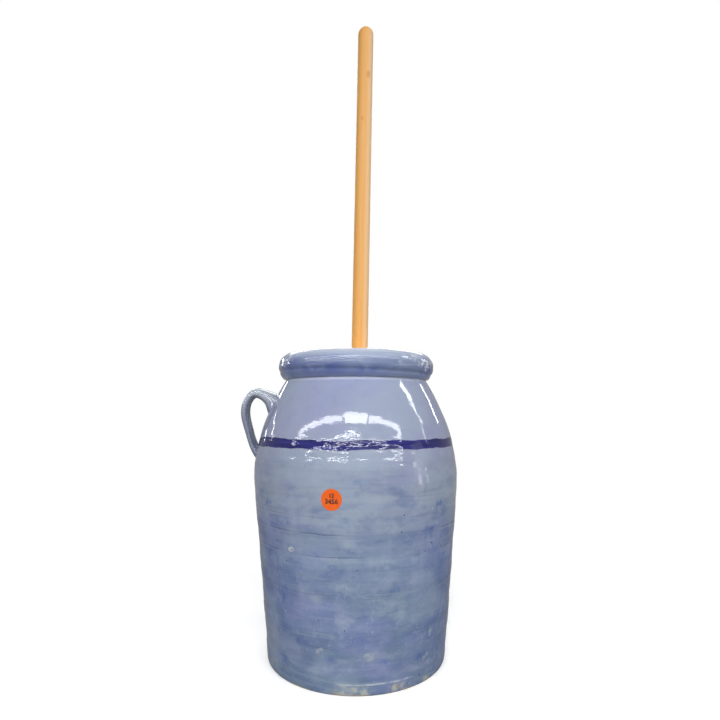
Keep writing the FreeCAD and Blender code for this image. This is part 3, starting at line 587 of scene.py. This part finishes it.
def glaze_material(name, banded):
    """Dipped and brushed stoneware glaze, fired: cloudy greyed blue with brush rings, glassy and uneven,
    an indigo slip band, pits where gas came through, bare buff clay at the foot."""
    made = new_material(name)
    tree = made.node_tree
    coords = add(tree, "TexCoord")["Object"]
    height = add(tree, "SeparateXYZ", {0: coords})["Z"]
    noise = {}
    for pattern, (across, up, detail, rough, start) in GLAZE_PATTERNS.items():
        stretched = add(tree, "Mapping", {"Vector": coords, "Location": (start, start, start),
                                          "Scale": [1 / (size * MM) for size in (across, across, up)]})[0]
        noise[pattern] = add(tree, "TexNoise", {"Vector": stretched, "Scale": 1, "Detail": detail,
                                                "Roughness": rough})[0]

    # The colours change up the jar, along edges that wander except at the rim.
    reach = cover(tree, 30 * MM, (height, 355 * MM, 330 * MM))
    centred = add(tree, "Math", {0: noise["zone_edge"], 1: 0.5}, operation="SUBTRACT")[0]
    zone = add(tree, "Math", {0: centred, 1: reach, 2: height}, operation="MULTIPLY_ADD")[0]
    zone = add(tree, "Math", {0: zone, 1: JAR_HEIGHT}, operation="DIVIDE")[0]
    base = add(tree, "ValToRGB", {"Fac": zone}, stops=ZONES if banded else STRAP_ZONES)[0]

    # Brush rings and patches on the lower wall, where the glaze was laid on thick and thin, and broad darker
    # patches on either side, partly thick glaze and partly painted shade.
    low_wall = (height, 292 * MM, 225 * MM)
    here_and_there = (noise["line_breaks"], 0.42, 0.58)
    base = lay_on(
        tree, base,
        ("7f86ad", 0.45, (noise["hue"], 0.50, 0.62), low_wall),
        ("768d9c", 0.42, (noise["hue"], 0.48, 0.36), low_wall),
        ("566996", 0.50, (noise["patches"], 0.50, 0.64), low_wall),
        ("909cb0", 0.45, (noise["patches"], 0.48, 0.34), low_wall),
        ("5b6e98", 0.32, (noise["brush_rings"], 0.50, 0.64), low_wall),
        ("9aa9bb", 0.25, (noise["brush_rings"], 0.46, 0.34), low_wall),
        ("4a6099", 0.57, (nearest(tree, coords, SIDES_THICK_GLAZE_AND_SHADE, wobble=0.1, tall=1.6), 1, 0)),
        ("4a6099", 0.95, (nearest(tree, coords, THICK_GLAZE, wobble=0.45, tall=0.6), 1, -0.4)),
        ("94a1b2", 0.70, (nearest(tree, coords, THIN_GLAZE, wobble=0.5, tall=0.6), 1, -0.2)),
        ("46567a", 0.35, (noise["drag_lines"], 0.60, 0.68), here_and_there, low_wall))

    # Throwing lines: glaze pools dark in each one and thins over the ridge just below it.
    wavy = wandering(tree, height, (noise["line_wave"], 7 * MM), (noise["line_shake"], 1.6 * MM))
    for line_height, depth in THROWING_LINES:
        for colour, amount, below, half, core in (("434f6c", depth, 0, 1.1, 0.2),
                                                  ("98a3b4", 0.55 * depth, 1.9, 1.2, 0)):
            off = add(tree, "Math", {0: wavy, 1: (line_height - below) * MM}, operation="SUBTRACT")[0]
            off = add(tree, "Math", {0: off}, operation="ABSOLUTE")[0]
            base = lay_on(tree, base, (colour, amount, (off, half * MM, core * MM), here_and_there))

    # Clouding in the glaze, and faint pale runs down the wall.
    dark_clouds = add(tree, "Math", {0: cover(tree, 0.38, low_wall), 1: 0.095}, operation="MAXIMUM")[0]
    base = lay_on(
        tree, base,
        ("98a8b6", 0.40, (noise["soft_cloud"], 0.46, 0.62)),
        ("8b93bd", 0.30, (noise["soft_cloud"], 0.48, 0.36)),
        ("9aa5b8", 0.30, (noise["cloud"], 0.51, 0.68)),
        ("606c92", dark_clouds, (noise["cloud"], 0.48, 0.32)),
        ("98a4b8", 0.18, (noise["runs"], 0.56, 0.74), low_wall),
        ("a9b0be", 0.17, (nearest(tree, coords, PALE_RUNS, wobble=0.5, tall=4.5), 1, HARD)))

    # Small glassy blisters, specks and pits, each in a few of the cells, and the marks that have a place. The
    # pale streaks and patches over the top of the collar are painted reflections.
    cells = add(tree, "TexVoronoi", {"Vector": coords, "Scale": 1 / (10.53 * MM)})
    chance = add(tree, "SeparateColor", {0: cells["Color"]})
    grains = add(tree, "TexVoronoi", {"Vector": coords, "Scale": 1 / (4.348 * MM)})
    grain_chance = add(tree, "SeparateColor", {0: grains["Color"]})[0]
    blisters = (cells["Distance"], 0.16, 0.05), (chance[0], 0.84, 0.88), low_wall
    specks = (grains["Distance"], 0.34, 0.12), (grain_chance, 0.82, 0.90), low_wall
    small_pits = (cells["Distance"], 0.11, 0.06), (chance[1], 0.94, 0.95), low_wall
    placed_pits = (nearest(tree, coords, PITS, wobble=0.3), 1, HARD)
    # Fine ridges round the top of the collar: raised in the relief, and painted pale along them as
    # reflections.
    rim_ridges_and_sheen = (noise["rim_ridges_and_sheen"], 0.46, 0.62), (height, 385 * MM, 391 * MM)
    base = lay_on(
        tree, base,
        ("bcc6d4", 0.42, *blisters),
        ("a9b4c4", 0.24, *specks),
        ("b5b9b4", 0.45, (nearest(tree, coords, CRAWLED, wobble=0.6), 1, HARD), (noise["crawl"], 0.42, 0.62)),
        ("b4bdd2", 0.26, *rim_ridges_and_sheen),
        ("dfe4ea", 0.80, (nearest(tree, coords, PAINTED_RIM_REFLECTIONS, wobble=0.7), 1, HARD),
         (noise["rim_flecks"], 0.36, 0.62)),
        ("c3c8c8", 0.70, (nearest(tree, coords, SCAR, wobble=0.3, tall=0.7), 1, HARD)),
        ("6f7a86", 0.80, (nearest(tree, coords, SCAR_CORE, tall=0.6), 1, HARD)),
        ("252b3c", 0.85, placed_pits),
        ("252b3c", 0.85, *small_pits))

    # What stands up from the surface or sinks into it, as a pattern and its height in mm.
    relief = [(noise["broad_rings"], cover(tree, 0.16, low_wall)), (noise["swell"], 0.35),
              (noise["ripple"], 0.17), (noise["grain"], 0.012), (noise["fine_rings"], 0.05),
              (cover(tree, 1, *rim_ridges_and_sheen), 0.16), (cover(tree, 1, *blisters), 0.12),
              (cover(tree, 1, *small_pits), -0.5), (cover(tree, 1, placed_pits), -0.5)]

    if banded:
        # Indigo slip band, laid on by hand over the turning jar, so its edges wander and drag the glaze.
        uneven = wandering(tree, height, (noise["band_wander"], 9 * MM), (noise["band_shake"], 3 * MM))
        band = (uneven, 282.6 * MM, 283.8 * MM), (uneven, 295.2 * MM, 294.0 * MM)
        streaks = cover(tree, 1, (noise["band_streaks"], 0.42, 0.75))
        indigo = add(tree, "MixRGB", {"Fac": streaks, "Color1": srgb("0b0a55"), "Color2": srgb("2b2a86")})[0]
        base = add(tree, "MixRGB", {"Fac": cover(tree, 0.97, *band), "Color1": base, "Color2": indigo})[0]
        by_band = (height, 255 * MM, 272 * MM), (height, 308 * MM, 294 * MM)
        relief += [(cover(tree, 1, *band), 0.12), (noise["dragged"], cover(tree, 0.75, *by_band))]

    # Inside, the glaze was only poured round: plain, with no band and no brush marks.
    streaky = cover(tree, 1, (noise["cloud"], 0.4, 0.6))
    poured = add(tree, "MixRGB", {"Fac": streaky, "Color1": srgb("7f8aa4"), "Color2": srgb("99a2b8")})[0]
    inside = cover(tree, 1, *poured_inside(tree, coords, height))
    base = add(tree, "MixRGB", {"Fac": inside, "Color1": base, "Color2": poured})[0]

    # The glaze breaks pale in a line over the foot's soft edge. Below it the foot is rubbed and stained.
    edge = wandering(tree, height, (noise["foot_wander"], 7 * MM))
    base = lay_on(
        tree, base,
        ("ccd0d2", 0.75, (edge, 12.1 * MM, 13.3 * MM), (edge, 15.1 * MM, 13.7 * MM),
         (nearest(tree, coords, FOOT_EDGE), 1, HARD), (noise["foot_breaks"], 0.40, 0.55)),
        ("bab9ac", 0.85, (nearest(tree, coords, RUBBED, wobble=0.6), 1, 0), (noise["worn"], 0.34, 0.62)),
        ("ab9257", 0.70, (nearest(tree, coords, FOOT_STAINS, wobble=0.5), 1, 0)))

    # Bare clay on the ragged edge where the foot stood in the kiln, and all over its underside.
    ragged = wandering(tree, height, (noise["clay_wander"], 16 * MM), (noise["clay_shake"], 3 * MM))
    bare = add(tree, "Math", {0: cover(tree, 1, (ragged, 0.9 * MM, -0.7 * MM)),
                              1: cover(tree, 1, (height, 0.9 * MM, 0.3 * MM))}, operation="MAXIMUM")[0]
    clay = add(tree, "MixRGB", {"Fac": noise["clay"], "Color1": srgb("c0b088"), "Color2": srgb("a09070")})[0]
    base = add(tree, "MixRGB", {"Fac": bare, "Color1": base, "Color2": clay})[0]

    raised = 0
    for pattern, amount in relief:
        raised = add(tree, "Math", {0: pattern, 1: amount, 2: raised}, operation="MULTIPLY_ADD")[0]
    normal = add(tree, "Bump", {"Strength": 1, "Distance": 1 * MM, "Height": raised})[0]
    glassy = add(tree, "MapRange", {"Value": noise["cloud"], "From Min": 0.3, "From Max": 0.7,
                                    "To Min": 0.04, "To Max": 0.09})[0]
    rough = add(tree, "MapRange", {"Value": bare, "To Max": 0.8})[0]
    rough = add(tree, "Math", {0: glassy, 1: rough}, operation="MAXIMUM")[0]
    shader = add(tree, "BsdfPrincipled", {"Base Color": base, "Roughness": rough, "Normal": normal,
                                          "IOR": 1.52})
    add(tree, "OutputMaterial", {"Surface": shader[0]})
    return made


def wood_material(name, light, dark, grain, pith, ring_width):
    """Sawn or planed board with no finish on it: growth rings cut along the grain, fine fibres over them, dry
    to the eye. Grain is the axis the wood runs along, pith the middle of its rings and ring_width their
    spacing, both in mm."""
    made = new_material(name)
    tree = made.node_tree
    coords = add(tree, "TexCoord")["Object"]
    drawn_out = [0.12 if axis == grain else 1 for axis in "XYZ"]
    placed = add(tree, "Mapping", {"Vector": coords, "Location": [-p * MM for p in pith],
                                   "Scale": drawn_out})[0]
    wave_spacing = math.pi / 10  # in metres, of a wave texture whose scale is 1
    rings = add(tree, "TexWave", {"Vector": placed, "Scale": wave_spacing / (ring_width * MM),
                                  "Distortion": 3.0, "Detail": 3, "Detail Scale": 0.35},
                wave_type="RINGS", rings_direction=grain, wave_profile="SAW")["Fac"]
    fibre_length, fibre_width = 33.33 * MM, 1.538 * MM
    drawn_fine = [1 / fibre_length if axis == grain else 1 / fibre_width for axis in "XYZ"]
    fine_place = add(tree, "Mapping", {"Vector": coords, "Scale": drawn_fine})[0]
    fibres = add(tree, "TexNoise", {"Vector": fine_place, "Scale": 1, "Detail": 5, "Roughness": 0.7})[0]
    base = add(tree, "ValToRGB", {"Fac": rings}, stops=[(0.25, light), (0.85, dark), (1.0, light)])[0]
    shade = add(tree, "MapRange", {"Value": fibres, "From Min": 0.3, "From Max": 0.7,
                                   "To Min": 0.88, "To Max": 1.08})[0]
    base = add(tree, "VectorMath", {0: base, "Scale": shade}, operation="SCALE")[0]
    normal = add(tree, "Bump", {"Strength": 0.6, "Distance": 0.15 * MM, "Height": fibres})[0]
    rough = add(tree, "MapRange", {"Value": fibres, "To Min": 0.45, "To Max": 0.70})[0]
    shader = add(tree, "BsdfPrincipled", {"Base Color": base, "Roughness": rough, "Normal": normal})
    add(tree, "OutputMaterial", {"Surface": shader[0]})
    return made


ROD_RADIUS = 11.9 * MM
ROD_LEAN = math.radians(0.94)
ROD_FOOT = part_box("dasher_rod")[0].x + ROD_RADIUS
# Knots in the rod, as (x, y, z, radius) in metres: it leans towards +X as it rises.
PIN_KNOTS = [(0.016, -0.011, 0.842, 0.0042), (0.006, -0.0125, 0.772, 0.0036), (0.011, 0.012, 0.61, 0.004)]


def dowel_material():
    """Turned hardwood dowel, warm and close grained: faint long streaks down its length, a paler strip down
    its right side that is painted highlight on that edge, three pin knots, and a warm sheen from handling."""
    made = new_material("turned_hardwood_dowel")
    tree = made.node_tree
    coords = add(tree, "TexCoord")["Object"]
    plumb = {"Vector": coords, "Rotation": (0, -ROD_LEAN, 0)}
    streak_size = (11.11 * MM, 11.11 * MM, 312.5 * MM)
    along = add(tree, "Mapping", {**plumb, "Scale": [1 / size for size in streak_size]})[0]
    streaks = add(tree, "TexNoise", {"Vector": along, "Scale": 1, "Detail": 3, "Distortion": 0.6})[0]
    fibres_in_streak = 7
    fine_place = add(tree, "Mapping", {"Vector": along, "Scale": [fibres_in_streak] * 3})[0]
    fibres = add(tree, "TexNoise", {"Vector": fine_place, "Scale": 1, "Detail": 5, "Roughness": 0.7})[0]
    warm = [(0.30, "e8ad5d"), (0.50, "e3a554"), (0.70, "e8ad5d")]
    base = add(tree, "ValToRGB", {"Fac": streaks}, stops=warm)[0]
    sideways = add(tree, "SeparateXYZ", {0: add(tree, "Mapping", plumb)[0]})["X"]
    # The paler strip down the right side is painted highlight, for light falling on that edge.
    base = lay_on(tree, base,
                  ("f1c48f", 1, (sideways, ROD_FOOT + 1 * MM, ROD_FOOT + 7 * MM)),
                  ("cf8638", 0.55, (nearest(tree, coords, PIN_KNOTS, wobble=0.4, tall=1.6), 1, HARD)))
    shade = add(tree, "MapRange", {"Value": fibres, "From Min": 0.3, "From Max": 0.7,
                                   "To Min": 0.96, "To Max": 1.03})[0]
    base = add(tree, "VectorMath", {0: base, "Scale": shade}, operation="SCALE")[0]
    normal = add(tree, "Bump", {"Strength": 0.5, "Distance": 0.1 * MM, "Height": fibres})[0]
    rough = add(tree, "MapRange", {"Value": fibres, "To Min": 0.42, "To Max": 0.62})[0]
    shader = add(tree, "BsdfPrincipled", {"Base Color": base, "Roughness": rough, "Normal": normal,
                                          "Sheen Weight": 0.45, "Sheen Roughness": 0.35,
                                          "Sheen Tint": srgb("ffd9a8")})
    add(tree, "OutputMaterial", {"Surface": shader[0]})
    return made


def paper_material():
    """Bright orange coated label paper: even colour with a faint fibre mottle and a slight sheen."""
    made = new_material("printed_orange_label_paper")
    tree = made.node_tree
    coords = add(tree, "TexCoord")["Object"]
    fibre = add(tree, "TexNoise", {"Vector": coords, "Scale": 1 / (1.111 * MM), "Detail": 4})[0]
    cloud = add(tree, "TexNoise", {"Vector": coords, "Scale": 1 / (6.25 * MM), "Detail": 2})[0]
    base = add(tree, "ValToRGB", {"Fac": cloud}, stops=[(0.3, "e95804"), (0.7, "e5640e")])[0]
    normal = add(tree, "Bump", {"Strength": 0.4, "Distance": 0.05 * MM, "Height": fibre})[0]
    rough = add(tree, "MapRange", {"Value": fibre, "To Min": 0.35, "To Max": 0.55})[0]
    shader = add(tree, "BsdfPrincipled", {"Base Color": base, "Roughness": rough, "Normal": normal})
    add(tree, "OutputMaterial", {"Surface": shader[0]})
    return made


def ink_material():
    """Stamped black ink, a little thin in places."""
    made = new_material("stamped_black_ink")
    tree = made.node_tree
    coords = add(tree, "TexCoord")["Object"]
    thin = add(tree, "TexNoise", {"Vector": coords, "Scale": 1 / (2 * MM), "Detail": 3})[0]
    base = add(tree, "ValToRGB", {"Fac": thin}, stops=[(0.35, "2b1a14"), (0.75, "5a2a18")])[0]
    rough = add(tree, "MapRange", {"Value": thin, "To Min": 0.5, "To Max": 0.7})[0]
    shader = add(tree, "BsdfPrincipled", {"Base Color": base, "Roughness": rough})
    add(tree, "OutputMaterial", {"Surface": shader[0]})
    return made


def steel_material():
    """Drawn wire nails: grey steel, dulled and lightly rusted in spots."""
    made = new_material("drawn_steel_wire_nails")
    tree = made.node_tree
    coords = add(tree, "TexCoord")["Object"]
    spots = add(tree, "TexNoise", {"Vector": coords, "Scale": 1 / (2.5 * MM), "Detail": 4})[0]
    base = add(tree, "ValToRGB", {"Fac": spots}, stops=[(0.45, "8b8a86"), (0.7, "6b4a33")])[0]
    rough = add(tree, "MapRange", {"Value": spots, "To Min": 0.3, "To Max": 0.6})[0]
    shader = add(tree, "BsdfPrincipled", {"Base Color": base, "Roughness": rough, "Metallic": 0.85})
    add(tree, "OutputMaterial", {"Surface": shader[0]})
    return made


def dress(piece, material):
    """Give a piece its one material."""
    piece.data.materials.clear()
    piece.data.materials.append(material)


# ---------------------------------------------------------------- scene
def make_camera():
    """Eye level a little under the rim, looking slightly up."""
    data = bpy.data.cameras.new("camera")
    data.sensor_width = 36
    data.lens = 26
    data.clip_start, data.clip_end = 0.01, 50
    camera = bpy.data.objects.new("camera", data)
    bpy.context.scene.collection.objects.link(camera)
    eye = (4.55 * MM, -758.4 * MM, 328.1 * MM)
    look_up, roll = math.radians(5.72), math.radians(0.188)
    turn = Matrix.Rotation(math.pi / 2 + look_up, 4, "X") @ Matrix.Rotation(roll, 4, "Z")
    camera.matrix_world = Matrix.Translation(eye) @ turn
    bpy.context.scene.camera = camera


# The overhead rows hang at one height over the front of the shoulder, which mirrors them.
SHOULDER = Vector((0, -0.12, 0.315))
ROW_HEIGHT = 2.0


def lamp(name, place, size, radiance):
    """A flat soft lamp of one even radiance, set by its own frame, unseen by the camera itself."""
    data = bpy.data.lights.new(name, "AREA")
    data.shape = "RECTANGLE"
    data.size, data.size_y = size
    data.energy = radiance * math.pi * size[0] * size[1]
    made = bpy.data.objects.new(name, data)
    bpy.context.scene.collection.objects.link(made)
    made.matrix_world = place
    made.visible_camera = False


def light_row(name, start, end, width, radiance):
    """A long strip lamp overhead. Its ends are given as how far across and back they are from the front of
    the shoulder, in shares of the height it hangs at."""
    first, last = (SHOULDER + Vector((x, y, 1)) * ROW_HEIGHT for x, y in (start, end))
    heading = (last - first).to_2d()
    turn = Matrix.Rotation(math.atan2(heading.y, heading.x), 4, "Z")
    lamp(name, Matrix.Translation((first + last) / 2) @ turn, (heading.length, width), radiance)


def make_floor():
    """A pale round floor that fades out into the white all round. It can be seen through from below, and is
    open where the foot covers it, so that the underside is lit too."""
    floor = start_piece("floor", bpy.ops.mesh.primitive_circle_add, vertices=96, radius=3.5, fill_type="NGON",
                        location=(0, 0, -0.02 * MM))
    made = new_material("matt_white_floor")
    tree = made.node_tree
    coords = add(tree, "TexCoord")["Object"]
    away = add(tree, "VectorMath", {0: coords}, operation="LENGTH")["Value"]
    fade = cover(tree, 1, (away, 0.35, 1.5))
    under = add(tree, "NewGeometry")["Backfacing"]
    covered = cover(tree, 1, (away, FOOT_RADIUS - 4 * MM, FOOT_RADIUS - 9 * MM))
    clear = add(tree, "Math", {0: fade, 1: under}, operation="MAXIMUM")[0]
    clear = add(tree, "Math", {0: clear, 1: covered}, operation="MAXIMUM")[0]
    seen = add(tree, "LightPath")["Is Camera Ray"]
    glow = add(tree, "MapRange", {"Value": seen, "To Max": 0.22})[0]
    lift = add(tree, "Emission", {"Color": (1, 1, 1, 1), "Strength": glow})[0]
    paint = add(tree, "MixRGB", {"Fac": seen, "Color1": srgb("8e8e8e"), "Color2": srgb("f2f2f2")})[0]
    matt = add(tree, "BsdfDiffuse", {"Color": paint})[0]
    matt = add(tree, "AddShader", {0: matt, 1: lift})[0]
    through = add(tree, "BsdfTransparent")[0]
    surface = add(tree, "MixShader", {0: clear, 1: matt, 2: through})[0]
    add(tree, "OutputMaterial", {"Surface": surface})
    dress(floor, made)


def make_world():
    """White to the eye, light grey in reflections, and a plain grey fill on everything else."""
    world = bpy.data.worlds.new("studio")
    bpy.context.scene.world = world
    world.use_nodes = True
    tree = world.node_tree
    tree.nodes.clear()
    path = add(tree, "LightPath")
    mirrored = add(tree, "Math", {0: path["Is Glossy Ray"], 1: path["Is Transmission Ray"]},
                   operation="MAXIMUM")[0]
    level = add(tree, "MapRange", {"Value": mirrored, "To Min": 0.045, "To Max": 0.36})[0]
    level = add(tree, "MapRange", {"Value": path["Is Camera Ray"], "To Min": level, "To Max": 1})[0]
    light = add(tree, "Background", {"Color": (1, 1, 1, 1), "Strength": level})
    add(tree, "OutputWorld", {"Surface": light[0]})


make_camera()
make_world()
make_floor()

# Rows of soft strip lamps overhead, from the front to the back. The glaze mirrors them as streaks.
light_row("front_row_left_end", (-3.6, -0.80), (-2.1, -0.77), 0.45, 10)
light_row("front_row_left", (-2.1, -0.78), (-0.40, -1.085), 0.46, 11.5)
light_row("front_box", (-0.355, -1.10), (0.335, -1.095), 0.62, 13.5)
light_row("front_row_right", (0.38, -1.07), (1.5, -0.98), 0.52, 11.5)
light_row("front_row_right_end", (1.5, -1.0), (2.1, -1.35), 0.45, 11)
light_row("second_row_left", (-3.9, -2.30), (-0.3, -1.92), 0.34, 20.5)
light_row("second_row_dash", (-0.45, -1.62), (0.16, -1.80), 0.25, 19)
light_row("second_row_right", (-0.3, -2.25), (1.9, -2.22), 0.33, 20.5)
light_row("third_row_left", (-1.7, -2.65), (-0.5, -3.45), 0.55, 18)
light_row("third_row_right", (1.9, -2.2), (4.6, -3.1), 0.50, 16)
light_row("right_row", (1.02, 0.10), (1.45, 0.16), 0.30, 15)
light_row("right_row_middle", (1.46, 0.15), (2.25, 0.28), 0.10, 14)
light_row("right_row_end", (2.35, 0.08), (3.9, 0.13), 0.22, 5)
light_row("back_right_row", (1.55, 1.45), (3.1, 2.4), 0.30, 14)
light_row("back_left_row", (-4.8, 2.06), (-2.5, 2.12), 0.28, 14)
light_row("far_back_left_row", (-7.2, 6.8), (-1.7, 2.9), 0.60, 14)
STOOD_UP = Matrix.Rotation(math.pi / 2, 4, "X")
FACING_UP = Matrix.Rotation(math.pi, 4, "X")
TILTED_DOWN = Matrix.Rotation(math.radians(-50), 4, "X")
lamp("front_panel", Matrix.Translation((0.13, -1.12, 0.46)) @ STOOD_UP, (2.3, 0.36), 0.75)
lamp("under_panel", Matrix.Translation((0, 0, -0.8)) @ FACING_UP, (0.8, 0.8), 3)
lamp("back_panel", Matrix.Translation((0, 2.0, 1.9)) @ TILTED_DOWN, (2.4, 1.0), 4.5)

# A faint window on the right, with three brighter panes a little in front of it.
WINDOW = Matrix.Translation((2.53, -0.81, 0.34)) @ Matrix.Rotation(math.radians(74), 4, "Z") @ STOOD_UP
lamp("side_window", WINDOW, (0.75, 1.3), 0.7)
for name, across, rise, size in (("window_pane_upper", -0.29, 0.22, (0.22, 0.42)),
                                 ("window_pane_left", -0.06, -0.30, (0.22, 0.40)),
                                 ("window_pane_right", 0.41, -0.30, (0.14, 0.40))):
    lamp(name, WINDOW @ Matrix.Translation((across, rise, 0.02)), size, 3.2)

jar = make_jar()
strap = make_strap()
sticker = make_label()
prints = [make_print("print_upper", "12", 6.6 * MM, 2.6 * MM),
          make_print("print_lower", "3456", 8.0 * MM, -4.6 * MM)]

glaze = glaze_material("fired_blue_stoneware_glaze", banded=True)
strap_glaze = glaze_material("fired_blue_glaze_thin_on_pulled_strap", banded=False)
paper = paper_material()
ink = ink_material()
for piece, material in [(jar, glaze), (strap, strap_glaze), (sticker, paper)] + [(p, ink) for p in prints]:
    dress(piece, material)
    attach(piece, "crock")
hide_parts("crock_body")
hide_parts("strap_handle")
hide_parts("price_label")

rod_wood = dowel_material()
board_wood = wood_material("planed_pine_lid_board", "dcb984", "b98d58", "X", (0, 22, 350), 4.2)
register_wood = wood_material("planed_pine_lid_register", "dcb984", "b98d58", "Y", (-18, 0, 330), 4.6)
lower_wood = wood_material("sawn_maple_cross_board_lower", "d8b98c", "bf9768", "X", (0, 9, -30), 2.8)
upper_wood = wood_material("sawn_maple_cross_board_upper", "d8b98c", "bf9768", "Y", (11, 0, -24), 2.8)
steel = steel_material()
for node, material in {"dasher_rod": rod_wood, "foot_wedge": rod_wood, "lid_board": board_wood,
                       "lid_register": register_wood, "cross_board_lower": lower_wood,
                       "cross_board_upper": upper_wood, "lid_nails": steel, "cross_nails": steel}.items():
    dress(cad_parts[node], material)

bpy.context.scene.view_settings.view_transform = "Standard"
